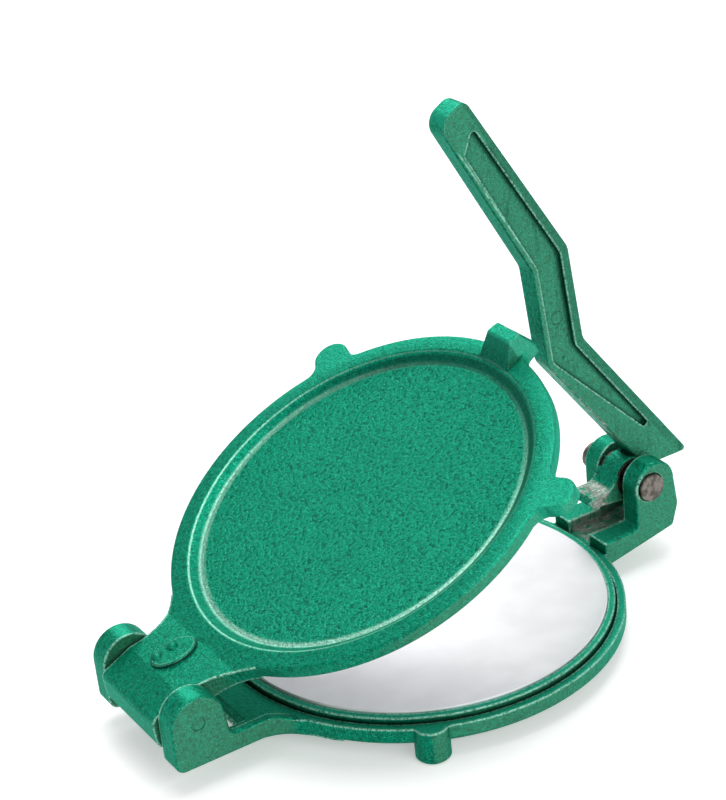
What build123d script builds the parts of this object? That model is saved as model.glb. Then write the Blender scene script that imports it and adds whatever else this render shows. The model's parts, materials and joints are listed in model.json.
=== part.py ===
"""Cast roti press: two hinged castings with polished plates and a hand lever.

All sizes are in millimetres and degrees. +X runs from the lid hinge to the
lever, +Z is up, and the whole press is symmetric about the XZ plane. It is
drawn about the middle of the lower plate and moved to its origin at the end.
"""

from build123d import *
import os
from math import cos, hypot, radians, sin

# Polished press plates
plate_radius = 100.0
plate_thickness = 4.5
plate_edge = 0.6
plate_gap = 0.5
lid_plate_radius = 94.5

# Base ring, boss and feet
foot_height = 9.0
foot_radius = 9.0
foot_inset = 3.5
foot_edge = 1.2
ring_height = 9.3
ring_land = 4.4
ring_edge = 2.0
boss_lip = 3.7
boss_rise = 2.9
groove_width = 1.0
groove_depth = 1.8
plate_proud = 1.3
seat_clearance = 0.3
casting_floor = 5.0
ring_wall = 9.0
rib_width = 6.0
rib_inset = 1.0
hub_ring_radius = 16.0

# Lid hinge: ears on the base, barrel on the lid, one pin
hinge_setback = 42.6
hinge_pin_radius = 3.5
pin_recess = 0.2
pin_clearance = 0.05
ear_radius = 14.7
ear_thickness = 13.5
ear_foot_gap = 13.0
ear_corner = 5.0
ear_flare = 1.8
arm_rise = 5.2
arm_run = 14.0
arm_fillet = 22.0
arm_root_sink = 0.6
arm_rim = 4.5
scoop_radius = 36.0
valley_fillet = 4.0
ear_edge = 1.6
barrel_length = 55.0
barrel_side_gap = 2.0
barrel_bottom = 12.5
barrel_rear = 20.9
barrel_rake = 5.4
barrel_top = 8.0
barrel_corner = 4.0

# Lid casting
lid_overhang = 9.0
lid_thickness = 8.0
lid_drop = 2.8
lid_setback = 14.0
lid_boss_depth = 2.7
lid_boss_step = 6.0
lid_edge = 1.6
lid_open = 26.0
recess_depth = 4.0
recess_rim = 11.5
recess_slope = 4.5
recess_lip = 1.6
lid_arm_fillet = 36.0
arm_top_run = 30.0
pad_length = 25.0
pad_width = 17.0
pad_rise = 2.0
pad_side = 3.5
pad_bump = 3.0
lug_angle = 61.5
lug_tip_radius = 10.0
lug_reach = 17.5
lug_fillet = 8.0
nose_length = 11.5
nose_root = 14.0
nose_tip = 10.5
nose_corner = 3.0
nose_fillet = 7.0
nose_block_length = 22.8
nose_block_height = 10.8
nose_block_lean = 10.6
nose_block_front = 5.5
nose_block_draft = 8.0
nose_block_edge = 1.4

# Lever and its clevis
lever_pin_radius = 6.0
pin_head_radius = 7.7
pin_head_near = 2.0
pin_head_far = 5.0
pin_head_edge = 0.5
head_pocket_gap = 0.8
head_pocket_depth = 1.0
pivot_height = 48.0
hub_radius = 11.5
washer_radius = 10.4
washer_thickness = 1.4
washer_gap = 0.1
lever_thickness = 13.0
lever_half_width = 12.2
lever_tip_half_width = 9.6
lever_edge = 1.2
lever_clearance = 1.4
lever_knee_angle = 21.3
shank_length = 55.0
shank_lean = 96.4
handle_length = 107.0
handle_lean = 119.6
bar_foot_run = 38.8
bar_foot_drop = 16.7
beak_level = 2.4
back_flange = 5.8
front_lip = 3.6
web_recess = 2.6
pocket_run = 78.0
pocket_point = 3.5
tip_block = 24.0
tip_block_skew = 9.0
tip_corner_front = 9.0
tip_corner_back = 6.0
toe_reach = 31.0
toe_gap = 2.5
toe_width = 17.0
toe_drop = 3.2
toe_bevel = 2.8
toe_thickness = 6.0
toe_saddle = 16.5
toe_crown_angle = 122.0
toe_hollow = 9.0
toe_washer_gap = 0.8
cheek_gap = 22.0
cheek_thickness = 12.0
cheek_radius = 13.2
cheek_shift = 3.4
cheek_back_run = 15.5
cheek_back_low = 31.0
cheek_back_fillet = 8.0
cheek_front_fillet = 3.0
cheek_edge = 1.8
ledge_rise = 6.7
ledge_inset = 2.0
ledge_slot = 18.0
clevis_slope = 8.5
clevis_root_rise = 1.0
clevis_back_taper = 4.0
clevis_foot_fillet = 2.5

# Heights that follow from the sizes above
ring_bottom = foot_height
ring_top = ring_bottom + ring_height
boss_top = ring_top + boss_rise
plate_top = boss_top + plate_proud
seat_z = plate_top - plate_thickness
lid_top = lid_thickness / 2 - lid_drop
lid_low = lid_top - lid_thickness
hinge_z = plate_top + plate_gap + plate_thickness + lid_boss_depth - lid_low
arm_top = ring_top + arm_rise
ledge_top = ring_top + ledge_rise

# Plan sizes that follow from the sizes above
seat_radius = plate_radius + seat_clearance
boss_radius = seat_radius + boss_lip
groove_radius = boss_radius + groove_width
ring_radius = groove_radius + ring_land
hinge_reach = ring_radius + hinge_setback
lid_radius = plate_radius + lid_overhang
hinge_x = -hinge_reach
ear_inner = barrel_length / 2 + barrel_side_gap
ear_outer = ear_inner + ear_thickness
lid_centre = hinge_reach - lid_setback
nose_reach = lid_centre + lid_radius + nose_length
pivot_x = hinge_x + nose_reach + toe_gap + toe_reach
cheek_inner = cheek_gap / 2
cheek_outer = cheek_inner + cheek_thickness
cheek_x = pivot_x + cheek_shift
cheek_front = cheek_x - cheek_radius
knee_radius = nose_reach + lever_clearance + lever_half_width

TALL = 400.0


def polar_point(radius, angle):
    return (radius * cos(radians(angle)), radius * sin(radians(angle)))


def side_prism(outline, width):
    """A side view in X and Z, drawn as wide as asked about the middle plane."""
    return extrude(Plane.XZ * outline, amount=width / 2, both=True)


def plan_prism(outline, low, high):
    """A plan view in X and Y, drawn between two heights."""
    return Pos(0, 0, low) * extrude(outline, amount=high - low)


def across(x, z, radius, width):
    """A cylinder along Y, centred on the middle plane."""
    return Pos(x, 0, z) * Rot(90, 0, 0) * Cylinder(radius, width)


def corners_near(sketch, points, reach=1.0):
    """The corners of a sketch that lie at the given points."""
    return [
        v
        for v in sketch.vertices()
        if any(hypot(v.X - x, v.Y - y) < reach for x, y in points)
    ]


def edges_at_height(solid, z, reach=0.01):
    """The level edges of a solid at one height."""
    return [
        e
        for e in solid.edges()
        if abs(e.bounding_box().min.Z - z) < reach
        and abs(e.bounding_box().max.Z - z) < reach
    ]


def lies_across(edge, half):
    """Whether an edge lies in one of the two side planes at this half width."""
    box = edge.bounding_box()
    return abs(abs(box.min.Y) - half) < 0.01 and abs(box.max.Y - box.min.Y) < 0.01


def ring_and_boss():
    """The turned body of the base: ring, boss and the hollow below them."""
    hollow_radius = ring_radius - ring_wall
    section = Polyline(
        (0, seat_z - casting_floor),
        (hollow_radius, seat_z - casting_floor),
        (hollow_radius, ring_bottom),
        (ring_radius - ring_edge, ring_bottom),
        (ring_radius, ring_bottom + ring_edge),
        (ring_radius, ring_top),
        (boss_radius, ring_top),
        (boss_radius, boss_top),
        (0, boss_top),
        close=True,
    )
    return revolve(Plane.XZ * make_face(section), axis=Axis.Z)


def underside_ribs():
    """Three ribs and a middle ring that stiffen the floor of the base."""
    low = ring_bottom + rib_inset
    high = seat_z - casting_floor / 2
    reach = ring_radius - ring_wall / 2
    ribs = plan_prism(Circle(hub_ring_radius), low, high)
    ribs -= plan_prism(Circle(hub_ring_radius - rib_width), low, seat_z - casting_floor)
    for turn in (60, 180, 300):
        bar = Pos(hub_ring_radius - rib_width / 2, 0) * Rectangle(
            reach - hub_ring_radius + rib_width / 2, rib_width, align=(Align.MIN, Align.CENTER)
        )
        ribs += Rot(0, 0, turn) * plan_prism(bar, low, high)
    return ribs


def foot(angle):
    """One round foot cast on the ring, its flat top level with the ring."""
    x, y = polar_point(ring_radius - foot_inset, angle)
    post = plan_prism(Circle(foot_radius), 0, ring_top)
    post = chamfer(edges_at_height(post, 0), foot_edge)
    return Pos(x, y, 0) * post


def hinge_arms():
    """Both ears with the rimmed arms and the scooped web that carry them."""
    ear_front = hinge_x + ear_radius
    valley_x = ear_front + ear_flare
    crest_x = -ring_radius - ring_land
    side = Polygon(
        (hinge_x - ear_radius, hinge_z),
        (hinge_x - ear_radius, ear_foot_gap),
        (-ring_radius - foot_radius, ear_foot_gap),
        (-ring_radius + ring_wall, ring_bottom),
        (-ring_radius + arm_run + ring_wall, ring_bottom),
        (-ring_radius + arm_run + ring_wall, ring_top),
        (crest_x + arm_run, ring_top),
        (crest_x, arm_top),
        (valley_x, arm_top),
        (ear_front, hinge_z),
        align=None,
    )
    side += Pos(hinge_x, hinge_z) * Circle(ear_radius)
    side = fillet(corners_near(side, [(valley_x, arm_top)]), valley_fillet)
    side = fillet(corners_near(side, [(hinge_x - ear_radius, ear_foot_gap)]), ear_corner)

    arm_length = -hinge_x + ear_radius
    arm = Rectangle(arm_length, 2 * ear_outer, align=(Align.MAX, Align.CENTER))
    root_radius = ring_radius - arm_root_sink
    meet_outer = -((root_radius**2 - ear_outer**2) ** 0.5)
    plan = Circle(root_radius) + arm
    plan = fillet(
        corners_near(plan, [(meet_outer, ear_outer), (meet_outer, -ear_outer)]), arm_fillet
    )
    arms = side_prism(side, 3 * ear_outer) & plan_prism(plan, 0, TALL)
    outer = [e for e in arms.edges() if lies_across(e, ear_outer)]
    arms = fillet(outer, ear_edge)

    inside = offset(plan, amount=-arm_rim)
    ahead = Pos(valley_x, 0) * Rectangle(TALL, TALL, align=(Align.MIN, Align.CENTER))
    arms -= plan_prism(inside & ahead, ring_top, TALL)
    return arms - across(hinge_x, hinge_z, scoop_radius, 2 * ear_inner)


def clevis_block():
    """The lever clevis: two cheeks on a sloping foot that leaves the ring."""
    back_x = cheek_x + cheek_back_run
    foot_x = back_x - clevis_back_taper
    start_x = ring_radius - ring_wall
    root_z = ring_bottom + clevis_root_rise
    ledge_x = ring_radius - ledge_inset
    side = Polygon(
        (start_x, ring_bottom),
        (ring_radius, root_z),
        (foot_x, root_z + clevis_slope),
        (back_x, cheek_back_low),
        (cheek_x + cheek_radius, pivot_height),
        (cheek_front, pivot_height),
        (cheek_front, ledge_top),
        (ledge_x, ledge_top),
        (ledge_x, ring_top),
        (start_x, ring_top),
        align=None,
    )
    side += Pos(cheek_x, pivot_height) * Circle(cheek_radius)
    side = fillet(corners_near(side, [(cheek_front, ledge_top)]), cheek_front_fillet)
    side = fillet(corners_near(side, [(foot_x, root_z + clevis_slope)]), clevis_foot_fillet)
    side = fillet(corners_near(side, [(back_x, cheek_back_low)]), cheek_back_fillet)
    block = side_prism(side, 2 * cheek_outer)
    rims = [e for e in block.edges() if lies_across(e, cheek_outer)]
    return fillet([e for e in rims if e.bounding_box().max.Z > ledge_top - 0.1], cheek_edge)


def clevis_slot():
    """What is cut from the clevis: the lever's slot and the narrower ledge slot."""
    run = TALL - cheek_front
    slope = clevis_slope / (cheek_x + cheek_back_run - clevis_back_taper - ring_radius)
    lever_slot = Polygon(
        (cheek_front - 1, ring_top),
        (cheek_front, ring_top),
        (TALL, ring_top + slope * run),
        (TALL, TALL),
        (cheek_front - 1, TALL),
        align=None,
    )
    ledge = Polygon(
        (ring_radius - ledge_inset - 1, ring_top),
        (cheek_front, ring_top),
        (cheek_front, TALL),
        (ring_radius - ledge_inset - 1, TALL),
        align=None,
    )
    return side_prism(lever_slot, cheek_gap) + side_prism(ledge, ledge_slot)


def base_casting():
    """The whole lower casting, cut for the plate, the groove and both pins."""
    body = ring_and_boss() + underside_ribs()
    for angle in (0, 120, 240):
        body += foot(angle)
    body += hinge_arms()
    body += clevis_block()
    body -= clevis_slot()
    body -= plan_prism(Circle(groove_radius) - Circle(boss_radius), ring_top - groove_depth, TALL)
    body -= plan_prism(Circle(boss_radius + groove_width / 2), boss_top, TALL)
    body -= plan_prism(Circle(seat_radius), seat_z, TALL)
    body -= across(hinge_x, hinge_z, hinge_pin_radius + pin_clearance, 4 * ear_outer)
    body -= across(pivot_x, pivot_height, lever_pin_radius + pin_clearance, 4 * cheek_outer)
    pocket_y = cheek_outer - head_pocket_depth / 2
    for side in (-1, 1):
        pocket = across(
            pivot_x, pivot_height, pin_head_radius + head_pocket_gap, head_pocket_depth
        )
        body -= Pos(0, side * pocket_y, 0) * pocket
    return body


def press_disc(face_z):
    """A polished plate whose working face looks up, with a small bevel."""
    disc = plan_prism(Circle(plate_radius), face_z - plate_thickness, face_z)
    return chamfer(disc.edges(), plate_edge)


def hinge_pin():
    """The plain pin through both ears, its ends a hair below their faces."""
    return across(hinge_x, hinge_z, hinge_pin_radius, 2 * (ear_outer - pin_recess))


def lever_pin():
    """The riveted lever pin with a head at each end."""
    seat_y = cheek_outer - head_pocket_depth
    pin = across(pivot_x, pivot_height, lever_pin_radius, 2 * seat_y)
    for side, height in ((-1, pin_head_near), (1, pin_head_far)):
        length = head_pocket_depth + height
        head = across(pivot_x, pivot_height, pin_head_radius, length)
        head = chamfer(head.edges(), pin_head_edge)
        pin += Pos(0, side * (seat_y + length / 2), 0) * head
    return pin


def lever_washer(side):
    """A flat washer between the lever's hub and one cheek of the clevis."""
    middle = lever_thickness / 2 + washer_gap + washer_thickness / 2
    disc = across(pivot_x, pivot_height, washer_radius, washer_thickness)
    disc -= across(pivot_x, pivot_height, lever_pin_radius + pin_clearance, TALL)
    return Pos(0, side * middle, 0) * disc


def lid_plan():
    """The lid's outline seen from above: disc, arm, two lugs and the nose tab."""
    half_arm = barrel_length / 2
    disc = Pos(lid_centre, 0) * Circle(lid_radius)
    arm = Rectangle(lid_centre, barrel_length, align=(Align.MIN, Align.CENTER))
    meet = lid_centre - (lid_radius**2 - half_arm**2) ** 0.5
    outline = disc + arm
    outline = fillet(
        corners_near(outline, [(meet, half_arm), (meet, -half_arm)]), lid_arm_fillet
    )
    for angle in (lug_angle, -lug_angle):
        outline += Pos(lid_centre, 0) * Rot(0, 0, angle) * lid_lug()
    return outline + Pos(lid_centre, 0) * lid_nose_tab()


def lid_nose_tab():
    """The tapered tab under the nose block, drawn along X from the lid's centre."""
    start = lid_radius - nose_length
    tip = lid_radius + nose_length
    tab = Polygon(
        (start, -nose_root),
        (tip, -nose_tip),
        (tip, nose_tip),
        (start, nose_root),
        align=None,
    )
    tab = fillet(corners_near(tab, [(tip, nose_tip), (tip, -nose_tip)]), nose_corner)
    whole = Circle(lid_radius) + tab
    roots = [v for v in whole.vertices() if abs(hypot(v.X, v.Y) - lid_radius) < 0.01 and v.X > 0]
    return fillet([v for v in roots if 1 < abs(v.Y) < nose_root], nose_fillet)


def lid_lug():
    """One side lug, drawn along X from the lid's centre, with its root blends."""
    tip_centre = lid_radius + lug_reach - lug_tip_radius
    root = Rectangle(tip_centre, 2 * lug_tip_radius, align=(Align.MIN, Align.CENTER))
    whole = Circle(lid_radius) + root + Pos(tip_centre, 0) * Circle(lug_tip_radius)
    meet = (lid_radius**2 - lug_tip_radius**2) ** 0.5
    corners = [(meet, lug_tip_radius), (meet, -lug_tip_radius)]
    return fillet(corners_near(whole, corners), lug_fillet)


def barrel_section():
    """The side view of the lid's barrel and the arm that slopes down from it."""
    overlap = arm_top_run + lid_thickness
    rear_top = (-barrel_rear + barrel_rake, barrel_top)
    rear_low = (-barrel_rear, lid_low)
    front_low = (barrel_bottom, lid_low)
    section = Polygon(
        rear_top,
        rear_low,
        (-barrel_bottom, -barrel_bottom),
        (barrel_bottom / 3, -barrel_bottom),
        front_low,
        (overlap, lid_low),
        (overlap, lid_top),
        (arm_top_run, lid_top),
        (hinge_pin_radius, barrel_top),
        align=None,
    )
    return fillet(corners_near(section, [rear_top, rear_low, front_low]), barrel_corner)


def nose_block():
    """The raised block on the nose that the lever presses down on."""
    start = nose_reach - nose_block_length
    low = lid_top - lid_edge
    top = lid_top + nose_block_height
    side = Polygon(
        (start, low),
        (start, lid_top),
        (start + nose_block_lean, top),
        (nose_reach - nose_block_front, top),
        (nose_reach - nose_block_edge, lid_top),
        (nose_reach - nose_block_edge, low),
        align=None,
    )
    plan = Polygon(
        (start - nose_tip, -nose_root),
        (nose_reach, -nose_tip),
        (nose_reach, nose_tip),
        (start - nose_tip, nose_root),
        align=None,
    )
    wedge = Pos(0, 0, low) * extrude(plan, amount=2 * nose_block_height, taper=nose_block_draft)
    block = side_prism(side, 4 * nose_root) & wedge
    upper = [e for e in block.edges() if e.bounding_box().max.Z > top - 0.01]
    return fillet(upper, nose_block_edge)


def arm_pad():
    """The oval raised pad on the lid's arm, with two small round bumps."""
    rise = barrel_top - lid_top
    run = arm_top_run - hinge_pin_radius
    slope = Plane(
        origin=(hinge_pin_radius + run / 2, pad_side, lid_top + rise / 2),
        x_dir=(run, 0, -rise),
        z_dir=(rise, 0, run),
    )
    pad = extrude(slope * Ellipse(pad_length / 2, pad_width / 2), amount=pad_rise)
    pad = chamfer(pad.edges().sort_by(Axis.Z)[-1], pad_rise / 3)
    for along in (-pad_length / 3, pad_length / 20):
        pad += slope * Pos(along, pad_width / 6, pad_rise / 2) * Sphere(pad_bump)
    pad -= slope * Pos(0, 0, -TALL / 2 - pad_rise) * Box(TALL, TALL, TALL)
    return pad


def lid_casting():
    """The upper casting in its closed place, measured from the hinge axis."""
    plan = lid_plan()
    body = plan_prism(plan, lid_low, lid_top)
    body = fillet(edges_at_height(body, lid_top), lid_edge)
    body = chamfer(edges_at_height(body, lid_low), lid_edge)
    body -= Box(arm_top_run * 2, TALL, TALL)
    barrel = side_prism(barrel_section(), barrel_length)
    arm = plan_prism(plan, -TALL, TALL) & side_prism(barrel_section(), TALL)
    body += arm + barrel
    boss = Pos(hinge_reach, 0) * Circle(lid_plate_radius - lid_boss_step)
    body += plan_prism(boss, lid_low - lid_boss_depth, lid_top - recess_depth - lid_edge)
    body -= Pos(lid_centre, 0, lid_top) * recess_bowl()
    body += nose_block()
    body += arm_pad()
    body -= across(0, 0, hinge_pin_radius + pin_clearance, TALL)
    return body


def recess_bowl():
    """The turned shape that is sunk into the lid's top, with its eased lip."""
    rim = lid_radius - recess_rim
    section = Polyline(
        (0, 0),
        (rim + recess_lip, 0),
        (rim, -recess_lip / 2),
        (rim - recess_slope, -recess_depth),
        (0, -recess_depth),
        close=True,
    )
    return revolve(Plane.XZ * make_face(section), axis=Axis.Z)


def lid_disc():
    """The upper plate in its closed place, measured from the hinge axis."""
    back = lid_low - lid_boss_depth
    disc = plan_prism(Circle(lid_plate_radius), back - plate_thickness, back)
    return Pos(hinge_reach, 0, 0) * chamfer(disc.edges(), plate_edge)


def open_lid(piece):
    """Turns a piece of the closed lid up about the hinge to its open place."""
    return Pos(hinge_x, 0, hinge_z) * Rot(0, -lid_open, 0) * piece


def bar_outline(centres, front_halves, back_halves):
    """The outline of a bent bar from its centre line and its reach to each side."""
    front, back = [], []
    for i, here in enumerate(centres):
        into = (here - centres[i - 1]).normalized() if i else None
        out = (centres[i + 1] - here).normalized() if i + 1 < len(centres) else None
        into = into or out
        out = out or into
        along = (into + out).normalized()
        miter = 1 / along.dot(out)
        across_bar = Vector(-along.Y, along.X) * miter
        front.append(here + across_bar * front_halves[i])
        back.append(here - across_bar * back_halves[i])
    return front + back[::-1]


def lever_centres():
    """The corners of the lever's centre line, from below its beak to its tip."""
    low = Vector(pivot_x + bar_foot_run, pivot_height - bar_foot_drop)
    kx, kz = polar_point(knee_radius, lever_knee_angle)
    knee = Vector(hinge_x + kx, hinge_z + kz)
    elbow = knee + Vector(*polar_point(shank_length, shank_lean))
    tip = elbow + Vector(*polar_point(handle_length, handle_lean))
    return low, knee, elbow, tip


def toe_outline():
    """The toe that reaches forward from the hub: a hollowed saddle with a blunt tip."""
    tip_x = pivot_x - toe_reach
    top = pivot_height - toe_drop
    low = top - toe_thickness
    crown = polar_point(hub_radius, toe_crown_angle)
    return make_face(
        FilletPolyline(
            (pivot_x, pivot_height),
            (pivot_x + crown[0], pivot_height + crown[1]),
            (pivot_x - toe_saddle, top),
            (tip_x + toe_bevel, top),
            (tip_x, top - toe_bevel),
            (tip_x + toe_bevel, low),
            (pivot_x, pivot_height - hub_radius),
            radius=[0.1, 0.5, toe_hollow, 1.0, 1.0, 1.0, 0.1],
            close=True,
        )
    )


def lever_outline():
    """The lever seen from the side."""
    half = lever_half_width
    halves = (half, half, half - 0.3, lever_tip_half_width)
    points = bar_outline(lever_centres(), halves, halves)
    radii = [1.0, 9.0, 12.0, tip_corner_front, tip_corner_back, 12.0, 10.0, 1.0]
    bar = make_face(FilletPolyline(*points, radius=radii, close=True))
    above = Pos(pivot_x, pivot_height + beak_level) * Rectangle(
        TALL, TALL, align=(Align.CENTER, Align.MIN)
    )
    outline = bar & above
    beak = outline.vertices().sort_by(Axis.X)[-1]
    outline = fillet(beak, 2.0)
    outline += Pos(pivot_x, pivot_height) * Circle(hub_radius)
    return outline


def lever_web_pocket():
    """The shallow channel in each face, between the back flange and the front lip."""
    low, knee, elbow, tip = lever_centres()
    start = knee - (knee - low).normalized() * pocket_run
    handle = (tip - elbow).normalized()
    end = tip - handle * tip_block
    back = lever_half_width - back_flange
    front = lever_half_width - front_lip
    points = bar_outline(
        (start, knee, elbow, end),
        (pocket_point - back, front, front, front - 2.0),
        (back, back, back, back - 1.5),
    )
    points[4] += handle * tip_block_skew
    radii = [1.0, 7.0, 9.0, 2.0, 2.0, 12.0, 8.0, 1.0]
    return make_face(FilletPolyline(*points, radius=radii, close=True))


def lever_casting():
    """The cast lever: bar with channelled faces, hub, beak and toe."""
    bar = side_prism(lever_outline(), lever_thickness)
    rims = [e for e in bar.edges() if lies_across(e, lever_thickness / 2)]
    bar = fillet(rims, lever_edge)
    channel = side_prism(lever_web_pocket(), lever_thickness)
    channel -= side_prism(lever_web_pocket(), lever_thickness - 2 * web_recess)
    bar -= channel
    toe = side_prism(toe_outline(), toe_width)
    relief = across(pivot_x, pivot_height, washer_radius + toe_washer_gap, TALL)
    relief -= across(pivot_x, pivot_height, TALL, lever_thickness)
    bar += toe - relief
    bar -= across(pivot_x, pivot_height, lever_pin_radius + pin_clearance, TALL)
    return bar


def origin_shift():
    """Puts the origin midway between the rear of the ears and the tip of the beak."""
    beak = lever_outline().bounding_box().max.X
    rear = hinge_x - ear_radius
    return Pos(-(beak + rear) / 2, 0, 0)


nodes = {
    "base_casting": base_casting(),
    "base_press_disc": press_disc(plate_top),
    "lid_casting": open_lid(lid_casting()),
    "lid_press_disc": open_lid(lid_disc()),
    "hinge_pin": hinge_pin(),
    "lever_casting": lever_casting(),
    "lever_pin": lever_pin(),
    "lever_washer_near": lever_washer(-1),
    "lever_washer_far": lever_washer(1),
}

shift = origin_shift()
os.makedirs("parts", exist_ok=True)
for name, shape in nodes.items():
    export_step(shift * shape, f"parts/{name}.step")
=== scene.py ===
# %% [markdown]
# Roti press: two green enamelled castings, two polished plates and a bent hand lever.
# The shapes come from the CAD frame, in metres, and none of them is changed here. This
# script gives them their finish, a table to stand on, soft light and the camera of the
# photograph. Before each step a cell like this one says what the thing is on the real
# press, how it could be made, and why it is made this way.

# %% Load the frame
import json
import math
import bpy
from mathutils import Matrix, Vector


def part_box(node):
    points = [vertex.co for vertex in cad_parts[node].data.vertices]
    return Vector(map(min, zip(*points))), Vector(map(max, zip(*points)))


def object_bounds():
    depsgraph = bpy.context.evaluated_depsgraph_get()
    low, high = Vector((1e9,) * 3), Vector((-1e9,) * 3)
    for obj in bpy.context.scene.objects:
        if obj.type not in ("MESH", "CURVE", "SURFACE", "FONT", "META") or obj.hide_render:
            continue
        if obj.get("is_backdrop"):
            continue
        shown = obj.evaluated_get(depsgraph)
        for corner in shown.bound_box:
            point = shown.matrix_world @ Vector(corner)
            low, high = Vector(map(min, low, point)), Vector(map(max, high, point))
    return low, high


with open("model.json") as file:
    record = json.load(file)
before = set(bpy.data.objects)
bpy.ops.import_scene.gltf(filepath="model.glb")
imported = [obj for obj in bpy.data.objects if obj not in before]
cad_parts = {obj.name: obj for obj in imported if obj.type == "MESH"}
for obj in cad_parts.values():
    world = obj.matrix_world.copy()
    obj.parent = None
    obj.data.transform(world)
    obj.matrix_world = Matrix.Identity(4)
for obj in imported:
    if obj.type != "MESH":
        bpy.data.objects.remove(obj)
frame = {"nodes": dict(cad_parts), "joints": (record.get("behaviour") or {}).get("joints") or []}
nodes = frame["nodes"]
cad_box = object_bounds()
print("nodes:", sorted(nodes))

# %% [markdown]
# The camera stands where the photograph was taken from. It could be placed by eye, but then
# the outlines never quite meet, so it was solved from the photograph with the lower plate
# taken as 200 mm across. It looks down at 26.4 degrees from the near left, and it is rolled
# a little, as the photograph is.

# %% Camera
PHOTO_HEIGHT = 800
AIM = Vector((-0.02484, -0.0006, 0.14835))
CAMERA_AZIMUTH = math.radians(-29.52)
CAMERA_ELEVATION = math.radians(26.40)
CAMERA_DISTANCE = 1.0768
CAMERA_ROLL = math.radians(-6.23)
FOCAL_PIXELS = 2170.4
SENSOR = 36.0


def add_camera():
    """The camera of the photograph, from its aim, its angles and its distance."""
    back = Vector((
        math.sin(CAMERA_AZIMUTH) * math.cos(CAMERA_ELEVATION),
        -math.cos(CAMERA_AZIMUTH) * math.cos(CAMERA_ELEVATION),
        math.sin(CAMERA_ELEVATION),
    ))
    level = Vector((math.cos(CAMERA_AZIMUTH), math.sin(CAMERA_AZIMUTH), 0.0))
    upright = back.cross(level)
    right = level * math.cos(CAMERA_ROLL) + upright * math.sin(CAMERA_ROLL)
    up = upright * math.cos(CAMERA_ROLL) - level * math.sin(CAMERA_ROLL)
    data = bpy.data.cameras.new("camera")
    data.sensor_width = SENSOR
    data.lens = SENSOR * FOCAL_PIXELS / PHOTO_HEIGHT
    camera = bpy.data.objects.new("camera", data)
    camera.matrix_world = Matrix.Translation(AIM + back * CAMERA_DISTANCE) @ Matrix(
        (right, up, back)
    ).transposed().to_4x4()
    bpy.context.collection.objects.link(camera)
    bpy.context.scene.camera = camera
    return camera


camera = add_camera()
print("lens:", round(camera.data.lens, 1), "mm")

# %% [markdown]
# Wear, grime and grain are all masks, numbers from 0 to 1 over a surface, and a mask is a
# small sum of other masks. Such sums could be wired node by node, but they read best as
# plain expressions. `Sock` wraps one output socket of a node, so that `1 - mask * 0.5`
# adds the Math nodes for us.

# %% Sums of sockets
def link_value(tree, value, socket):
    """Gives a socket what it needs: a link where the value is a `Sock`, else the number."""
    if isinstance(value, Sock):
        tree.links.new(value.socket, socket)
    else:
        socket.default_value = value


class Sock:
    def __init__(self, tree, socket):
        self.tree = tree
        self.socket = socket

    def math(self, operation, *values):
        node = self.tree.nodes.new("ShaderNodeMath")
        node.operation = operation
        for value, socket in zip(values, node.inputs):
            link_value(self.tree, value, socket)
        return Sock(self.tree, node.outputs[0])

    def __add__(self, other):
        return self.math("ADD", self, other)

    def __radd__(self, other):
        return self.math("ADD", other, self)

    def __sub__(self, other):
        return self.math("SUBTRACT", self, other)

    def __rsub__(self, other):
        return self.math("SUBTRACT", other, self)

    def __mul__(self, other):
        return self.math("MULTIPLY", self, other)

    def __rmul__(self, other):
        return self.math("MULTIPLY", other, self)

    def __abs__(self):
        return self.math("ABSOLUTE", self)

    def length(self, other):
        """The hypotenuse over this length and the other."""
        return self.math("SQRT", self * self + other * other)

    def either(self, other):
        """The stronger of two masks, or the larger of two lengths."""
        return self.math("MAXIMUM", self, other)

    def least(self, other):
        """The weaker of two masks, or the smaller of two lengths."""
        return self.math("MINIMUM", self, other)

    def step(self, low, high):
        """0 below low and 1 above high, smooth between them."""
        node = self.tree.nodes.new("ShaderNodeMapRange")
        node.interpolation_type = "SMOOTHSTEP"
        link_value(self.tree, self, node.inputs["Value"])
        node.inputs["From Min"].default_value = low
        node.inputs["From Max"].default_value = high
        return Sock(self.tree, node.outputs["Result"])

    def within(self, low, high, soft):
        """1 between low and high, falling to 0 over the soft width outside them."""
        return self.step(low - soft, low) * (1 - self.step(high, high + soft))

    def ridge(self, middle, half_width):
        """1 on the middle value, falling to 0 half_width away from it."""
        return 1 - abs(self - middle).step(0.0, half_width)


print("a Sock adds Math nodes for +, -, * and abs")

# %% [markdown]
# A finish is one material, built up in a script. Every node but a Math node comes from
# `Shade.node`, which takes its type, its settings and what goes into its sockets. Patterns
# could be laid out on unwrapped faces, but these pieces have none. They read Object
# coordinates instead: each CAD piece sits at the origin with its place in its mesh, so a
# pattern stays on its piece when the lid or the lever swings.

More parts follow.
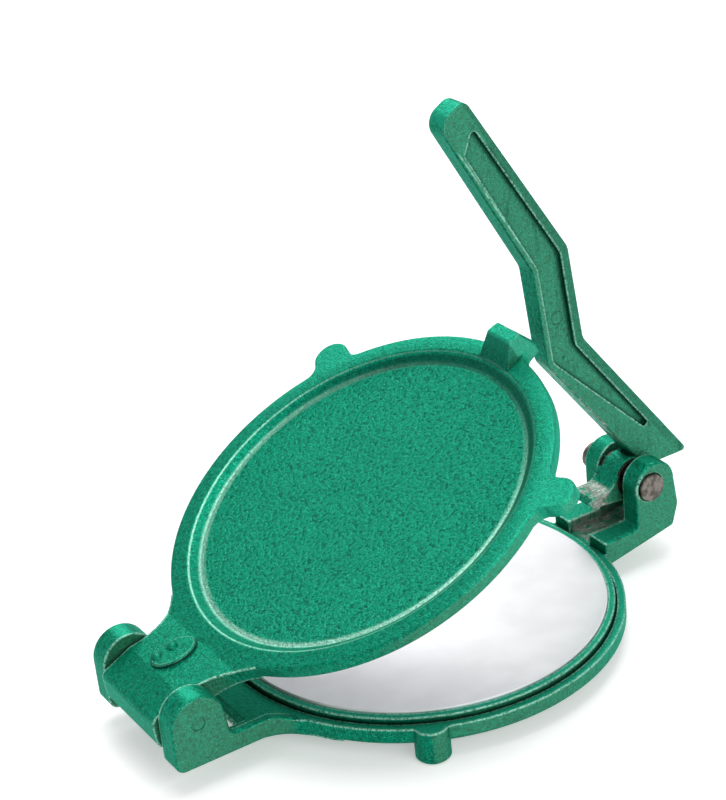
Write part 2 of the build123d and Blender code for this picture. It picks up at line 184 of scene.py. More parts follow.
# %% A finish in the making
class Shade:
    def __init__(self, name):
        self.material = bpy.data.materials.new(name)
        self.material.use_nodes = True
        self.tree = self.material.node_tree
        self.tree.nodes.clear()
        self.place = self.node("ShaderNodeTexCoord", output="Object")

    def node(self, kind, output=0, settings=None, **inputs):
        node = self.tree.nodes.new(kind)
        for key, value in (settings or {}).items():
            setattr(node, key, value)
        for key, value in inputs.items():
            link_value(self.tree, value, node.inputs[key.replace("_", " ")])
        return Sock(self.tree, node.outputs[output])

    def mix(self, factor, low, high):
        """A colour between two others: low where the factor is 0, high where it is 1."""
        node = self.tree.nodes.new("ShaderNodeMix")
        node.data_type = "RGBA"
        link_value(self.tree, factor, node.inputs[0])
        link_value(self.tree, low, node.inputs[6])
        link_value(self.tree, high, node.inputs[7])
        return Sock(self.tree, node.outputs[2])

    def axes(self, vector):
        """The three parts of a vector, or of a colour."""
        return [
            self.node("ShaderNodeSeparateXYZ", output=i, Vector=vector) for i in range(3)
        ]

    def finish(self, shader):
        out = self.tree.nodes.new("ShaderNodeOutputMaterial")
        self.tree.links.new(shader.socket, out.inputs["Surface"])
        return self.material


print("a Shade is one material in the making")

# %% [markdown]
# Cast metal and old enamel are made of a few patterns: soft blots, round grains, marks that
# run one way, corners that are closed in. Each could come from a picture, but a picture has
# one size and one place, and a pattern from nodes can be as fine as it needs to be.

# %% Patterns
GRAIN_CORE, GRAIN_RIM = 0.15, 0.5


def facing(s, x, y, z):
    """How much the surface faces along this direction of its own piece."""
    nx, ny, nz = s.axes(s.node("ShaderNodeTexCoord", output="Normal"))
    return nx * x + ny * y + nz * z


def stretched(s, x, y, z):
    """The place with each axis stretched, for grain and scratches that run one way."""
    return s.node("ShaderNodeMapping", Vector=s.place, Scale=(x, y, z))


def noise(s, size, detail=2.0, rough=0.5, vector=None):
    """Soft noise whose blots are about this size in metres."""
    return s.node(
        "ShaderNodeTexNoise",
        Vector=vector or s.place,
        Scale=1.0 / size,
        Detail=detail,
        Roughness=rough,
    )


def grains(s, size, share):
    """Round grains of this size, on this share of the cells, each with its own strength."""
    distance = s.node("ShaderNodeTexVoronoi", Vector=s.place, Scale=1.0 / size)
    colour = s.node("ShaderNodeTexVoronoi", output="Color", Vector=s.place, Scale=1.0 / size)
    chosen = s.axes(colour)[0].step(1.0 - share, 1.0)
    return chosen * (1 - distance.step(GRAIN_CORE, GRAIN_RIM))


def hollow(s, reach, inside=False, samples=8):
    """How closed-in the surface is within reach: crevices, or from inside, edges."""
    open_share = s.node(
        "ShaderNodeAmbientOcclusion",
        output="AO",
        settings={"only_local": True, "inside": inside, "samples": samples},
        Distance=reach,
    )
    return 1 - open_share


print("grains are full to", GRAIN_CORE, "of a cell and gone at", GRAIN_RIM)

# %% [markdown]
# Wear has its place: it follows the axles, the rims and the tops. Those places could be
# painted by eye on the mesh, but the CAD knows them, so they are read from the frame where
# it gives them, and named here in metres where it doesn't. The lid is drawn open, so its
# own plane runs up from the hinge line.

# %% Landmarks
joints = {joint["name"]: joint for joint in frame["joints"]}
HINGE_X, _, HINGE_Z = joints["lid_hinge"]["pos_m"]
PIVOT_X, _, PIVOT_Z = joints["lever_pivot"]["pos_m"]
LID_OPEN = math.radians(-joints["lid_hinge"]["range_deg"][0])
PLATE_LOW, PLATE_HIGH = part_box("base_press_disc")
PLATE_X = (PLATE_LOW.x + PLATE_HIGH.x) / 2
PLATE_RADIUS = PLATE_HIGH.y

LID_CENTRE_REACH = 0.138
LID_RADIUS = PLATE_RADIUS + 0.009
RECESS_LIP = LID_RADIUS - 0.0115
RECESS_FOOT = RECESS_LIP - 0.0045
NOSE_SLOPE_FOOT, NOSE_SLOPE_TOP = 0.2357, 0.2463
NOSE_HALF_WIDTH = 0.0125
RING_TOP = 0.0183
HUB_RADIUS = 0.0115
print("the lid stands open at", round(math.degrees(LID_OPEN)), "degrees")
print("hinge at", (HINGE_X, HINGE_Z), "and lever pivot at", (PIVOT_X, PIVOT_Z))
print("recess from", round(RECESS_FOOT, 4), "to", round(RECESS_LIP, 4), "m about the lid's middle")

# %% [markdown]
# The colours were matched to patches of the photograph. A picture holds a colour in steps
# from 0 to 255, and a shader wants light itself. The steps could be turned into light by
# hand, but then nobody could read them, so a function does it.

# %% Colours
def srgb(red, green, blue):
    """A picture's colour, 0 to 255, as the linear colour that a shader takes."""
    def linear(step):
        share = step / 255.0
        return share / 12.92 if share <= 0.04045 else ((share + 0.055) / 1.055) ** 2.4
    return (linear(red), linear(green), linear(blue), 1.0)


print("middle grey is", round(srgb(128, 128, 128)[0], 3), "in light")

# %% [markdown]
# The castings wear a green enamel with metal dust in it. Its grain has three sizes: the
# sand mould leaves pebbles about 2 mm across, the enamel dries to a finer peel over them,
# and the dust glints as specks of half a millimetre. One noise could stand for all three,
# but then either the glints would be too coarse or the pebbles too fine.

# %% Enamel colours and grain
ENAMEL = srgb(0, 136, 104)
ENAMEL_DEEP = srgb(0, 84, 62)
ENAMEL_DARK = srgb(0, 46, 34)
ENAMEL_PALE = srgb(96, 214, 180)
ENAMEL_HIGHLIGHT = srgb(48, 188, 152)
ENAMEL_SIDE_SHEEN = srgb(112, 142, 114)
ENAMEL_EDGE_WEAR_AND_HIGHLIGHT = srgb(176, 232, 212)
ENAMEL_SHEEN = srgb(150, 255, 235)
PEBBLE = 0.0021
PEEL = 0.0008
SPECK = 0.0005
SPECK_SHARE = 0.38


def cast_skin(s):
    """The pebbles of the sand mould, the finer peel of the enamel and its metal specks."""
    pebble = noise(s, PEBBLE, rough=0.55)
    peel = noise(s, PEEL, rough=0.6)
    specks = grains(s, SPECK, SPECK_SHARE)
    return pebble, peel, specks


print("grain sizes in mm:", PEBBLE * 1000, PEEL * 1000, SPECK * 1000)

# %% [markdown]
# Where the coat is whole it is deep green between the pebbles and clear on top of them. The
# upright sides are drawn greyer, a painted sheen of the white room, and the tops that face
# up are drawn lighter, a painted highlight. On the floor of the lid's recess the crests of
# the pebbles get a painted highlight too. A single green with a bump over it would be
# simpler, but it looks like paint, and the depth is gone.

# %% The whole coat
DEEP_TO_CLEAR = (0.32, 0.60)
DRIFT_SIZE, DRIFT_SHARE = 0.03, 0.18
DRIFT_RANGE = (0.3, 0.7)
UPRIGHT = (0.80, 0.98)
SIDE_SHEEN_SHARE = 0.22
HIGHLIGHT_EVEN, HIGHLIGHT_GRAINY = 0.05, 0.6
CREST_LEVEL, CREST_WIDTH, CREST_HIGHLIGHT_SHARE = 0.5, 0.07, 0.45
SPECK_STRENGTH = 0.8


def coat_colour(s, skin, lit_tops, floor):
    """The enamel's colour with its painted sheen and painted highlights, before edges and corners.
    """
    pebble, peel, specks = skin
    sides = abs(facing(s, 0.0, 1.0, 0.0)).step(*UPRIGHT)
    drift = noise(s, DRIFT_SIZE).step(*DRIFT_RANGE)
    coat = s.mix((pebble * 0.5 + peel * 0.5).step(*DEEP_TO_CLEAR), ENAMEL_DEEP, ENAMEL)
    coat = s.mix(drift * DRIFT_SHARE, coat, ENAMEL_DEEP)
    # painted sheen: the upright sides are drawn greyer, as the white room shows on them
    coat = s.mix(sides * SIDE_SHEEN_SHARE, coat, ENAMEL_SIDE_SHEEN)
    # painted highlight: the places that the mask gives, mostly tops facing the lamps, are drawn
    # lighter
    coat = s.mix(lit_tops(s) * (HIGHLIGHT_EVEN + peel * HIGHLIGHT_GRAINY), coat, ENAMEL_HIGHLIGHT)
    if floor:
        # painted highlight on the crests of the pebbles on the floor of the recess
        crest_highlights = floor(s) * pebble.ridge(CREST_LEVEL, CREST_WIDTH)
        coat = s.mix(crest_highlights * CREST_HIGHLIGHT_SHARE, coat, ENAMEL_HIGHLIGHT)
    return s.mix(specks * SPECK_STRENGTH, coat, ENAMEL_PALE)


print("the sides are", SIDE_SHEEN_SHARE, "painted_sheen")

# %% [markdown]
# Corners are drawn dark as painted shade, and the edges are drawn pale, partly wear and
# partly painted highlight. Both could be painted along the edges of the mesh, but an Ambient
# Occlusion node finds them: seen from outside it darkens what is closed in, and seen from
# inside it picks out what stands proud. A fine noise nibbles at the pale edges, because wear
# is never even.

# %% Painted shade in corners, pale edges of wear and painted highlight
CREVICE_REACH, CREVICE_STRENGTH = 0.004, 0.85
CLOSED_IN = (0.08, 0.48)
EDGE_REACH, EDGE_STRENGTH = 0.0024, 0.8
STANDING_PROUD = (0.24, 0.40)
NIBBLE_SIZE = 0.0012
NIBBLED = (0.32, 0.60)
GRIME_AND_SHADE_STRENGTH = 0.8


def colour_with_wear_and_painted_light(s, coat, edge_limit, pale, grime_and_shade):
    """The coat with painted shade in its corners and pale edges of wear and painted highlight."""
    # painted shade: what is closed in within reach is drawn darker, as the shade that falls there
    dark = hollow(s, CREVICE_REACH).step(*CLOSED_IN) * CREVICE_STRENGTH
    if grime_and_shade:
        dark = dark.either(grime_and_shade(s) * GRIME_AND_SHADE_STRENGTH)
    # pale edges: partly wear, partly painted highlight where the lamps catch what stands proud
    edge = hollow(s, EDGE_REACH, inside=True, samples=12).step(*STANDING_PROUD)
    nibble = noise(s, NIBBLE_SIZE, detail=3.0).step(*NIBBLED)
    worn_and_highlit = edge * nibble * EDGE_STRENGTH
    if edge_limit:
        worn_and_highlit = worn_and_highlit * edge_limit(s)
    if pale:
        worn_and_highlit = worn_and_highlit.either(pale(s))
    return s.mix(worn_and_highlit, s.mix(dark, coat, ENAMEL_DARK), ENAMEL_EDGE_WEAR_AND_HIGHLIGHT)


print("edges within", EDGE_REACH * 1000, "mm, crevices within", CREVICE_REACH * 1000, "mm")

# %% [markdown]
# Where the coat is off, cast metal shows, grey with bright scratches. A plain grey would do
# from afar, but the scratches are what tells metal from grey paint. The grain has to catch
# the light too: it could be cut into the mesh, at a huge cost in triangles, so a Bump node
# lays it over the surface, and a Bevel node rounds the edges for the light alone.

# %% Bare metal and relief
BARE_GREY = srgb(148, 146, 140)
BARE_BRIGHT = srgb(222, 222, 218)
SCRATCH_SIZE = 0.0012
SCRATCH_RUN = (0.25, 1.6, 1.0)
SCRATCHED = (0.50, 0.66)
PEBBLE_RELIEF, PEEL_RELIEF = 0.7, 0.3
FLOOR_RELIEF = 3.0
GRAIN_DEPTH, GRAIN_STRENGTH = 0.0008, 0.8
EDGE_ROUND = 0.0012


def bare_metal(s):
    """Cast metal with bright scratches that run along X."""
    along_x = stretched(s, *SCRATCH_RUN)
    scratches = noise(s, SCRATCH_SIZE, detail=4.0, rough=0.7, vector=along_x)
    return s.mix(scratches.step(*SCRATCHED), BARE_GREY, BARE_BRIGHT)


def raised_grain(s, skin, floor):
    """The surface's direction with rounded edges and raised grain."""
    pebble, peel, _ = skin
    height = pebble * PEBBLE_RELIEF + peel * PEEL_RELIEF
    if floor:
        height = height * (1 + floor(s) * FLOOR_RELIEF)
    return s.node(
        "ShaderNodeBump",
        Height=height,
        Strength=GRAIN_STRENGTH,
        Distance=GRAIN_DEPTH,
        Normal=s.node("ShaderNodeBevel", settings={"samples": 4}, Radius=EDGE_ROUND),
    )


print("edges are rounded for the light by", EDGE_ROUND * 1000, "mm")

# %% [markdown]
# Enamel with metal dust in it could be a glossy plastic under a clear coat, but the real
# one shines in its own green. So it is mostly metallic with a fine roughness, the pebbles
# duller than the rest and the dust smoother, and its sheen is tinted green.

# %% Green enamel
METAL_DUST, SPECK_METAL = 0.70, 0.25
ENAMEL_ROUGHNESS, SPECK_GLOSS, PEBBLE_DULL = 0.40, 0.16, 0.10
ENAMEL_SPECULAR = 0.3


def enamel(name, lit_tops, pale=None, bare=None, floor=None, edge_limit=None, grime_and_shade=None):
    """Enamel. Each mask is a function: where the tops get a painted highlight, where pale bands
    of wear and painted highlight lie, where the coat is off, where the grain is coarse, where
    pale edges of wear and painted highlight may go, and where grime and painted shade darken it."""
    s = Shade(name)
    skin = cast_skin(s)
    pebble, _, specks = skin
    colour = colour_with_wear_and_painted_light(s, coat_colour(s, skin, lit_tops, floor), edge_limit, pale, grime_and_shade)
    metallic = METAL_DUST + specks * SPECK_METAL
    if bare:
        scratched = bare(s)
        colour = s.mix(scratched, colour, bare_metal(s))
        metallic = metallic.either(scratched)
    shader = s.node(
        "ShaderNodeBsdfPrincipled",
        Base_Color=colour,
        Metallic=metallic,
        Roughness=ENAMEL_ROUGHNESS - specks * SPECK_GLOSS + pebble * PEBBLE_DULL,
        Specular_IOR_Level=ENAMEL_SPECULAR,
        Specular_Tint=ENAMEL_SHEEN,
        Normal=raised_grain(s, skin, floor),
    )
    return s.finish(shader)


print("the enamel is", METAL_DUST, "metallic")

# %% [markdown]
# The outer rim of the lid and the top of the nose's block are drawn lighter as painted
# highlight. The lip of the recess has a fine pale line, and the foot of its wall has a broader
# pale band, both wear and painted highlight, strongest towards the hinge. They could be
# painted on, but all of them are rings or ramps, so each is a range of one measure in the
# lid's own plane: how far a point lies from the middle of the lid, or from the hinge.

# %% Painted highlights and pale bands of the lid
RIM_SIDE = (0.10, 0.20)
HINGE_SIDE = (0.09, 0.25)
LID_UP = (0.80, 0.95)
BLOCK_STRENGTH = 1.2
LIP_HALF_WIDTH, LIP_EVEN, LIP_AT_HINGE = 0.0008, 0.12, 0.68
FOOT_HALF_WIDTH, FOOT_STRENGTH = 0.0026, 1.25
BAND_GRAIN_SIZE, BAND_GRAIN = 0.0009, (0.34, 0.62)
BAND_EVEN, BAND_GRAINY = 0.30, 0.70


def lid_place(s):
    """A point's reach from the lid's middle, its reach from the hinge, and its side."""
    x, y, z = s.axes(s.place)
    along = (x - HINGE_X) * math.cos(LID_OPEN) + (z - HINGE_Z) * math.sin(LID_OPEN)
    return (along - LID_CENTRE_REACH).length(y), along, y


def lid_highlights(s):
    """Painted highlight on the outer rim towards the nose and on the top of the nose's block."""
    reach, along, _ = lid_place(s)
    up = facing(s, -math.sin(LID_OPEN), 0.0, math.cos(LID_OPEN)).step(*LID_UP)
    rim = reach.step(RECESS_LIP + 0.0010, LID_RADIUS - 0.0010) * along.step(*RIM_SIDE)
    block = along.step(NOSE_SLOPE_TOP - 0.0043, NOSE_SLOPE_TOP - 0.0013)
    return (block * BLOCK_STRENGTH * up).either(rim)


def lid_bands(s):
    """The pale lip of the recess and the pale band at the foot of its wall: wear and painted
    highlight.
    """
    reach, along, _ = lid_place(s)
    grain = noise(s, BAND_GRAIN_SIZE, detail=3.0, rough=0.7).step(*BAND_GRAIN)
    # wear and painted highlight, strongest on the hinge side, where the lamps catch the recess
    hinge_side = 1 - along.step(*HINGE_SIDE)
    lip = reach.ridge(RECESS_LIP + 0.0006, LIP_HALF_WIDTH)
    lip = lip * (LIP_EVEN + hinge_side * LIP_AT_HINGE)
    foot = reach.ridge(RECESS_FOOT - 0.0010, FOOT_HALF_WIDTH) * hinge_side * FOOT_STRENGTH
    return lip.either(foot).least(1.0) * (BAND_EVEN + grain * BAND_GRAINY)


print("the lip is rubbed over", LIP_HALF_WIDTH * 2000, "mm, the foot over", FOOT_HALF_WIDTH * 2000)

# %% [markdown]
# The floor of the recess was never dressed, so its pebbles stand higher than elsewhere.
# Towards the nose the wall of the recess is darkened with painted shade, and so is the slope
# at the back of the nose's block. A crevice mask finds corners alone, and these are open
# faces, so they are named by their place.

# %% Floor and painted shade of the lid
SHADE_SIDE = (0.13, 0.22)
WALL_SHADE = 0.75
SLOPE_SHADE = 0.62


def lid_floor(s):
    """The floor of the recess."""
    reach, _, _ = lid_place(s)
    return 1 - reach.step(RECESS_FOOT - 0.003, RECESS_FOOT)


def lid_painted_shade(s):
    """Painted shade on the recess's wall towards the nose, and on the back of the nose's block."""
    reach, along, side = lid_place(s)
    wall = reach.within(RECESS_FOOT - 0.0012, RECESS_LIP - 0.0014, 0.0010)
    wall = wall * along.step(*SHADE_SIDE)
    slope = along.within(NOSE_SLOPE_FOOT + 0.0005, NOSE_SLOPE_TOP - 0.0015, 0.0012)
    slope = slope * (1 - abs(side).step(NOSE_HALF_WIDTH, NOSE_HALF_WIDTH + 0.002))
    return (wall * WALL_SHADE).either(slope * SLOPE_SHADE)


# the painted shade on the wall starts this far ahead of the hinge
print("grime on the wall from", SHADE_SIDE, "m ahead of the hinge")

# %% [markdown]
# In the slot of the clevis, under the lever's toe, the enamel is gone, and the level tops
# of the base are drawn lighter as painted highlight. Both could be painted, but a box between
# three ranges and the direction that a face looks in say it with less. About the axles no
# edge is drawn pale, because the pins and the hub cover it.

# %% Base casting
LEVEL = (0.93, 0.99)
BORE_RIM, BORE_SOFT = 0.0058, 0.0006
SLOT_START, SLOT_END = 0.106, 0.136
SLOT_HALF_WIDTH = 0.011
SLOT_BLOTS = (0.36, 0.55)
BLOT_SIZE, BARE_STRENGTH = 0.006, 0.95


# painted highlight: the faces that look straight up are drawn lighter with this mask
def level_tops(s):
    """The surfaces that face straight up."""
    return facing(s, 0.0, 0.0, 1.0).step(*LEVEL)


def away_from_axle(s, middle_x, middle_z, radius):
    """1 outside a round mark about an axle, so that its rim gets no pale edge."""
    x, _, z = s.axes(s.place)
    return (x - middle_x).length(z - middle_z).step(radius, radius + BORE_SOFT)


def base_edge_limit(s):
    """Every edge but the rim of the hinge pin's bore."""
    return away_from_axle(s, HINGE_X, HINGE_Z, BORE_RIM)


def slot_wear(s):
    """Bare metal on the floor and the low walls of the clevis's slot."""
    x, y, z = s.axes(s.place)
    blot = noise(s, BLOT_SIZE, detail=4.0, rough=0.6).step(*SLOT_BLOTS)
    inside = 1 - abs(y).step(SLOT_HALF_WIDTH - 0.001, SLOT_HALF_WIDTH + 0.0005)
    length = x.within(SLOT_START, SLOT_END, 0.004)
    level = z.within(RING_TOP - 0.002, RING_TOP + 0.006, 0.002)
    return inside * length * level * blot * BARE_STRENGTH


print("the slot is worn from", SLOT_START, "to", SLOT_END, "m")

# %% [markdown]
# The lever is a bent bar with a channel in each face, and its wear runs along it. It could
# be followed with a chain of boxes, but one measure serves everywhere: how far a point lies
# behind the bar's bent centre line. Each straight run gives its own distance. At the knee,
# which is hollow behind, the smaller one holds, and at the elbow, which is round behind,
# the larger.

# %% Along the lever
LEVER_KNEE = (0.0959, 0.1358)
LEVER_ELBOW = (0.0898, 0.1905)
BAR_LEAN, SHANK_LEAN, HANDLE_LEAN = 126.5, 96.4, 119.6
BAR_HALF_WIDTH = 0.0122
WEB_BACK = BAR_HALF_WIDTH - 0.0058
WEB_FRONT = 0.0036 - BAR_HALF_WIDTH
WEB_LOW, WEB_HIGH = 0.078, 0.258


def behind_bar(s):
    """How far a point lies behind the lever's centre line, and its height."""
    x, _, z = s.axes(s.place)

    def behind(corner, lean):
        """How far it lies behind the straight run through this corner, at this lean."""
        lean = math.radians(lean)
        return (x - corner[0]) * math.sin(lean) - (z - corner[1]) * math.cos(lean)

    low_bar = behind(LEVER_KNEE, BAR_LEAN)
    shank = behind(LEVER_KNEE, SHANK_LEAN)
    handle = behind(LEVER_ELBOW, HANDLE_LEAN)
    return low_bar.least(shank).either(handle), z


print("channel from", round(WEB_FRONT, 4), "to", round(WEB_BACK, 4), "m about the centre line")

# %% [markdown]
# The web of the channel carries two casting marks on its near side, a shallow ring below
# the elbow and a dark pit by the knee. Its rear flange is darkened with painted shade, with a
# painted shadow line at its foot, and old grime streaks the rest. The marks could be cut
# into the casting, but they are very shallow, so they are drawn as dark marks about two points.

# %% Casting marks, grime and painted shade of the lever
RING_MARK_X, RING_MARK_Z, RING_MARK_RADIUS = 0.0933, 0.1558, 0.0036
PIT_MARK_X, PIT_MARK_Z, PIT_MARK_RADIUS = 0.0958, 0.1322, 0.0027
RING_LINE, RING_STRENGTH = 0.0009, 0.5
PIT_CORE = 0.001
WOBBLE_SIZE, WOBBLE = 0.004, 0.0022
STREAK_SIZE, STREAK_STRENGTH = 0.005, 0.55
STREAK_RUN = (1.0, 1.0, 0.22)
STREAKED, LINE_BROKEN = (0.54, 0.74), (0.36, 0.56)
FLANGE_SHADE, FLANGE_EDGE = 0.34, 0.0014
FLANGE_START = (0.05, 0.07)
LINE_HALF_WIDTH = 0.0022


def casting_marks(s):
    """The ring and the pit on the near side, and a mask that keeps streaks off the ring."""
    x, y, z = s.axes(s.place)
    near = 1 - y.step(-0.002, 0.0)
    from_ring = (x - RING_MARK_X).length(z - RING_MARK_Z)
    ring = from_ring.ridge(RING_MARK_RADIUS, RING_LINE)
    off_ring = from_ring.step(RING_MARK_RADIUS, RING_MARK_RADIUS + 0.002)
    wobble = noise(s, WOBBLE_SIZE, detail=3.0) * WOBBLE
    from_pit = (x - PIT_MARK_X).length(z - PIT_MARK_Z) + wobble
    pit = 1 - from_pit.step(PIT_CORE, PIT_MARK_RADIUS)
    return (ring * RING_STRENGTH).either(pit) * near, off_ring


def lever_grime_and_shade(s):
    """The marks, painted shade on the rear flange, a painted shadow line at its foot, and grime
    streaks.
    """
    marks, off_ring = casting_marks(s)
    upward = stretched(s, *STREAK_RUN)
    streak = noise(s, STREAK_SIZE, detail=4.0, rough=0.65, vector=upward)
    back, level = behind_bar(s)
    # painted shade on the rear flange, which faces away from the lamps
    flange = back.step(WEB_BACK, WEB_BACK + FLANGE_EDGE) * level.step(*FLANGE_START)
    # painted shadow: the dark line that the flange casts at its foot
    line = back.ridge(WEB_BACK - 0.0004, LINE_HALF_WIDTH)
    line = line * level.within(WEB_LOW, WEB_HIGH, 0.006) * streak.step(*LINE_BROKEN)
    streaks = streak.step(*STREAKED) * off_ring * STREAK_STRENGTH
    return marks.either(line).either(flange * FLANGE_SHADE).either(streaks)


print("ring mark", round(RING_MARK_RADIUS * 2000, 1), "mm across, pit", PIT_MARK_RADIUS * 2000)

# %% [markdown]
# The toe is worn bare where it works in the slot, and so is the front edge of the lower bar.
# Above the knee the front lip of the channel is a pale hairline. The cap of the handle is
# drawn lighter as painted highlight. Each is once more a range along or across the bar,
# broken up by a noise so that it doesn't look drawn.

# %% Wear and painted highlights of the lever
LIP_LINE, LIP_LINE_STRENGTH = 0.0007, 0.6
LIP_GRAIN_SIZE, LIP_GRAIN = 0.003, (0.34, 0.60)
TOE_REACH, TOE_BLOTS = 0.031, (0.34, 0.52)
FRONT_EDGE_TOP, FRONT_EDGE_STRENGTH = 0.125, 0.85
FRONT_BLOT_SIZE, FRONT_BLOTS = 0.004, (0.40, 0.60)
CAP_LOW, CAP_HIGH = 0.2700, 0.2760
CAP_WAY, CAP_FACING = (-0.5, 0.0, 0.87), (0.5, 0.9)
LEVER_EDGE_SHARE = 0.7


def lever_lip(s):
    """A pale hairline along the front lip of the channel above the knee."""
    back, level = behind_bar(s)
    grain = noise(s, LIP_GRAIN_SIZE, detail=3.0).step(*LIP_GRAIN)
    run = level.within(LEVER_KNEE[1], WEB_HIGH, 0.006)
    return back.ridge(WEB_FRONT, LIP_LINE) * run * grain * LIP_LINE_STRENGTH


def toe_wear(s):
    """Bare metal on the hollow of the toe."""
    x, _, z = s.axes(s.place)
    blot = noise(s, BLOT_SIZE, detail=4.0, rough=0.6).step(*TOE_BLOTS)
    saddle = x.within(PIVOT_X - TOE_REACH + 0.004, PIVOT_X - 0.018, 0.003)
    height = z.within(PIVOT_Z - 0.009, PIVOT_Z + 0.004, 0.003)
    return saddle * height * blot * BARE_STRENGTH


def lever_wear(s):
    """Bare metal at the toe, and along the front edge of the lower bar."""
    back, level = behind_bar(s)
    blot = noise(s, FRONT_BLOT_SIZE, detail=4.0, rough=0.6).step(*FRONT_BLOTS)
    edge = 1 - back.step(0.0001 - BAR_HALF_WIDTH, 0.0014 - BAR_HALF_WIDTH)
    edge = edge * level.within(WEB_LOW, FRONT_EDGE_TOP, 0.012)
    return toe_wear(s).either(edge * blot * FRONT_EDGE_STRENGTH)


def lever_highlights(s):
    """Painted highlight on the cap of the handle and on the level tops."""
    _, _, z = s.axes(s.place)
    cap = z.step(CAP_LOW, CAP_HIGH) * facing(s, *CAP_WAY).step(*CAP_FACING)
    return cap.either(level_tops(s))


def lever_edge_limit(s):
    """Pale edges of wear and painted highlight, weaker than elsewhere, and none about the hub."""
    return away_from_axle(s, PIVOT_X, PIVOT_Z, HUB_RADIUS + 0.0015) * LEVER_EDGE_SHARE


# the painted highlight of the cap starts at this height
print("the handle's cap is worn above", CAP_LOW, "m")

# %% [markdown]
# The plates are turned and then finished to a bright satin: the white of the room shows in
# them, but nothing sharp does. An anisotropic shader would draw the wheel's marks, but they
# hardly show, so very fine rings in the roughness are enough. A plate is drawn a little
# greyer towards the hinge, as painted shade and painted reflection of the lid above it.

# %% Polished plates
PLATE_GREY = srgb(219, 220, 222)
PLATE_WHITE = srgb(242, 243, 245)
HINGE_SHADE_RANGE = (-0.02, 0.09)
HAZE_SIZE = 0.02
HAZE_RANGE = (0.3, 0.7)
HINGE_SHADE_WEIGHT, WHITE_BY_HAZE = 0.7, 0.3
RINGS_PER_METRE = 2500.0
PLATE_METAL = 0.75
PLATE_ROUGHNESS, HAZE_DULL, RING_DULL = 0.26, 0.06, 0.05


def polished(name, middle_x):
    """Bright satin metal with fine rings about a middle on the X axis, and painted shade by the
    hinge.
    """
    s = Shade(name)
    haze = noise(s, HAZE_SIZE)
    x, y, _ = s.axes(s.place)
    rings = s.node(
        "ShaderNodeTexNoise",
        settings={"noise_dimensions": "1D"},
        W=(x - middle_x).length(y),
        Scale=RINGS_PER_METRE,
    )
    # painted shade and reflection: greyer towards the hinge, under the open lid; haze at random
    white = x.step(*HINGE_SHADE_RANGE) * HINGE_SHADE_WEIGHT + haze.step(*HAZE_RANGE) * WHITE_BY_HAZE
    shader = s.node(
        "ShaderNodeBsdfPrincipled",
        Base_Color=s.mix(white, PLATE_GREY, PLATE_WHITE),
        Metallic=PLATE_METAL,
        Roughness=PLATE_ROUGHNESS + haze * HAZE_DULL + rings * RING_DULL,
    )
    return s.finish(shader)


print("plates turned about X =", round(PLATE_X, 4), "m")

# %% [markdown]
# The lever pin and its washers were never painted. The pin's heads are dull and spotted,
# and the washers between the castings are darker, nearly black. They could be two finishes,
# but only their colours differ, so one function makes both.

# %% Bare steel
PIN_DARK, PIN_LIGHT = srgb(84, 80, 75), srgb(126, 121, 114)
WASHER_DARK, WASHER_LIGHT = srgb(52, 48, 45), srgb(84, 78, 73)
STAIN_SIZE = 0.003
STAINED = (0.38, 0.62)
STEEL_ROUGHNESS, STAIN_DULL = 0.34, 0.2
HAMMER_SIZE, HAMMER_DEPTH, HAMMER_STRENGTH = 0.0008, 0.0002, 0.3
HAMMER_RUN = (1.0, 1.0, 3.0)


def bare_steel(name, dark, light):
    """Dull, spotted steel between a dark and a light colour."""
    s = Shade(name)
    stain = noise(s, STAIN_SIZE, detail=4.0)
    marks = noise(s, HAMMER_SIZE, detail=3.0, vector=stretched(s, *HAMMER_RUN))
    shader = s.node(
        "ShaderNodeBsdfPrincipled",
        Base_Color=s.mix(stain.step(*STAINED), dark, light),
        Metallic=1.0,
        Roughness=STEEL_ROUGHNESS + stain * STAIN_DULL,
        Normal=s.node(
            "ShaderNodeBump", Height=marks, Strength=HAMMER_STRENGTH, Distance=HAMMER_DEPTH
        ),
    )
    return s.finish(shader)


print("stains of about", STAIN_SIZE * 1000, "mm")

# %% [markdown]
# Each piece takes its finish from the table below. One finish could cover all three
# castings, but each has its own wear, painted highlights and painted shade, so they share
# the enamel and bring their own masks. The hinge pin is painted over like the base it sits
# in. The CAD meshes stay as they are: a new material in their slot is all they need.

# %% Give each piece its finish
PLATE = polished("polished_plate", PLATE_X)
STEEL_PIN = bare_steel("bare_steel_pin", PIN_DARK, PIN_LIGHT)
STEEL_WASHER = bare_steel("bare_steel_washer", WASHER_DARK, WASHER_LIGHT)
FINISHES = {
    "base_casting": enamel("green_enamel_base", level_tops, bare=slot_wear, edge_limit=base_edge_limit),
    "lid_casting": enamel(
        "green_enamel_lid", lid_highlights, pale=lid_bands, floor=lid_floor, grime_and_shade=lid_painted_shade
    ),
    "lever_casting": enamel(
        "green_enamel_lever",
        lever_highlights,
        pale=lever_lip,
        bare=lever_wear,
        edge_limit=lever_edge_limit,
        grime_and_shade=lever_grime_and_shade,
    ),
    "hinge_pin": enamel("painted_pin", level_tops, edge_limit=base_edge_limit),
    "base_press_disc": PLATE,
    "lid_press_disc": PLATE,
    "lever_pin": STEEL_PIN,
    "lever_washer_near": STEEL_WASHER,
    "lever_washer_far": STEEL_WASHER,
}
for name, material in FINISHES.items():
    slots = nodes[name].data.materials
    slots.clear()
    slots.append(material)
    print(name, "wears", material.name)

# %% [markdown]
# The table is a plain white floor. A floor bright enough to look white under the lamps
# would lose its shadow, so its own colour is light grey, and a glow that only the camera
# and mirrors see lifts it to white. The glow is stronger far away, where the lamps are
# weak, so that a low view shows no grey horizon.

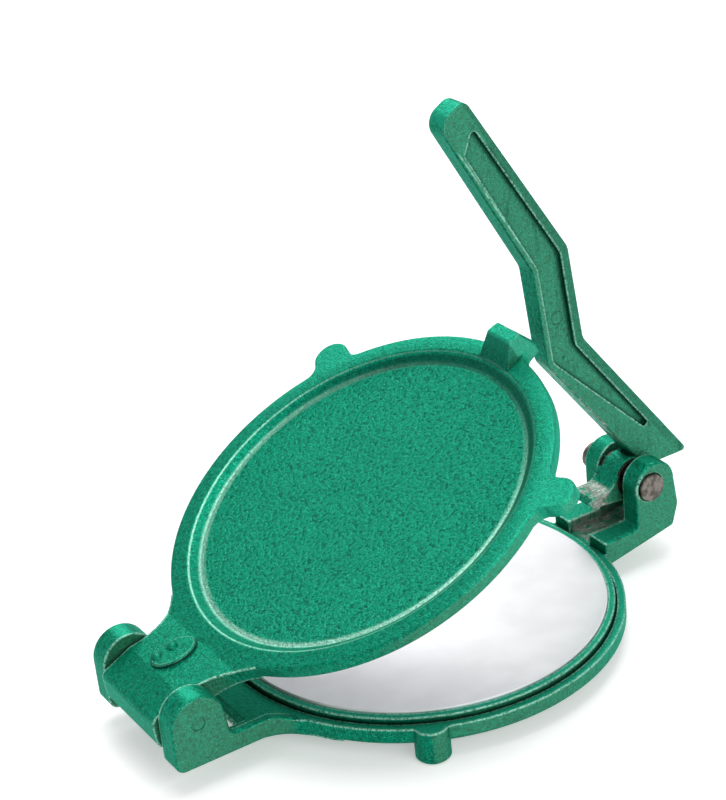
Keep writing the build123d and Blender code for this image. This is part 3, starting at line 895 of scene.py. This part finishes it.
# %% Table
WHITE = (1.0, 1.0, 1.0, 1.0)
FLOOR_SIZE = 12.0
FLOOR_COLOUR = (0.86, 0.86, 0.86, 1.0)
FLOOR_GLOW = 0.38
FAR_GLOW = 0.34
FAR_RANGE = (0.9, 3.0)


def floor_finish():
    """Light grey under the lamps, with a glow for the camera and for mirrors."""
    s = Shade("floor")
    seen = s.node("ShaderNodeLightPath", output="Is Camera Ray")
    mirrored = s.node("ShaderNodeLightPath", output="Is Glossy Ray")
    x, y, _ = s.axes(s.place)
    far = x.length(y).step(*FAR_RANGE)
    diffuse = s.node("ShaderNodeBsdfDiffuse", Color=FLOOR_COLOUR)
    glow = s.node(
        "ShaderNodeEmission",
        Color=WHITE,
        Strength=seen.either(mirrored) * (FLOOR_GLOW + far * FAR_GLOW),
    )
    both = s.tree.nodes.new("ShaderNodeAddShader")
    s.tree.links.new(diffuse.socket, both.inputs[0])
    s.tree.links.new(glow.socket, both.inputs[1])
    return s.finish(Sock(s.tree, both.outputs[0]))


def add_floor():
    """The floor, staged so that it isn't taken for a piece of the press."""
    mesh = bpy.data.meshes.new("floor")
    h = FLOOR_SIZE / 2
    mesh.from_pydata([(-h, -h, 0), (h, -h, 0), (h, h, 0), (-h, h, 0)], [], [(0, 1, 2, 3)])
    mesh.materials.append(floor_finish())
    floor = bpy.data.objects.new("floor", mesh)
    bpy.context.collection.objects.link(floor)
    floor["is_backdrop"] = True


add_floor()
print("floor:", FLOOR_SIZE, "m square")

# %% [markdown]
# The light is a pale room with three soft boxes: a large one overhead, one behind that
# draws the highlights on the lid's floor, and one in front that opens up the near sides.
# Hard lamps would give sharper highlights, but the photograph has none. The room is white
# to the camera, a little less to mirrors, and plain soft light to everything else.

# %% Room and soft boxes
ROOM_LIGHT = 0.44
ROOM_TO_CAMERA = 1.0
ROOM_TO_MIRRORS = 0.8
BOX_AIM = Vector((0.0, 0.0, 0.05))
SOFT_BOXES = [
    ("key_box", (0.12, 0.12, 1.8), (1.1, 1.1), 17.0),
    ("back_box", (0.45, 1.5, 1.1), (0.8, 0.6), 6.0),
    ("front_box", (0.1, -1.8, 0.9), (1.4, 0.9), 14.0),
]


def add_room():
    """A white room whose strength depends on who looks at it."""
    world = bpy.data.worlds.new("studio")
    world.use_nodes = True
    tree = world.node_tree
    tree.nodes.clear()
    path = tree.nodes.new("ShaderNodeLightPath")
    seen = Sock(tree, path.outputs["Is Camera Ray"]) * (ROOM_TO_CAMERA - ROOM_LIGHT)
    mirrored = Sock(tree, path.outputs["Is Glossy Ray"]) * (ROOM_TO_MIRRORS - ROOM_LIGHT)
    strength = seen.either(mirrored) + ROOM_LIGHT
    background = tree.nodes.new("ShaderNodeBackground")
    background.inputs["Color"].default_value = WHITE
    tree.links.new(strength.socket, background.inputs["Strength"])
    out = tree.nodes.new("ShaderNodeOutputWorld")
    tree.links.new(background.outputs[0], out.inputs["Surface"])
    bpy.context.scene.world = world


def add_soft_box(name, place, size, watts):
    """A rectangular lamp that faces the press."""
    data = bpy.data.lights.new(name, "AREA")
    data.shape = "RECTANGLE"
    data.size, data.size_y = size
    data.energy = watts
    lamp = bpy.data.objects.new(name, data)
    lamp.location = place
    lamp.rotation_mode = "QUATERNION"
    lamp.rotation_quaternion = (BOX_AIM - Vector(place)).to_track_quat("-Z", "Y")
    bpy.context.collection.objects.link(lamp)
    print(name, "gives", watts, "W")


add_room()
for name, place, size, watts in SOFT_BOXES:
    add_soft_box(name, place, size, watts)

bpy.context.scene.view_settings.view_transform = "Standard"

# %% [markdown]
# Nothing here changes the size of the press. Its box could be read off the CAD once more,
# but that would prove nothing, so the dressed press is measured, and both boxes are kept
# side by side.

# %% Sizes
visual_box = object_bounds()
print("corners moved by", [round((v - c).length, 5) for v, c in zip(visual_box, cad_box)], "m")
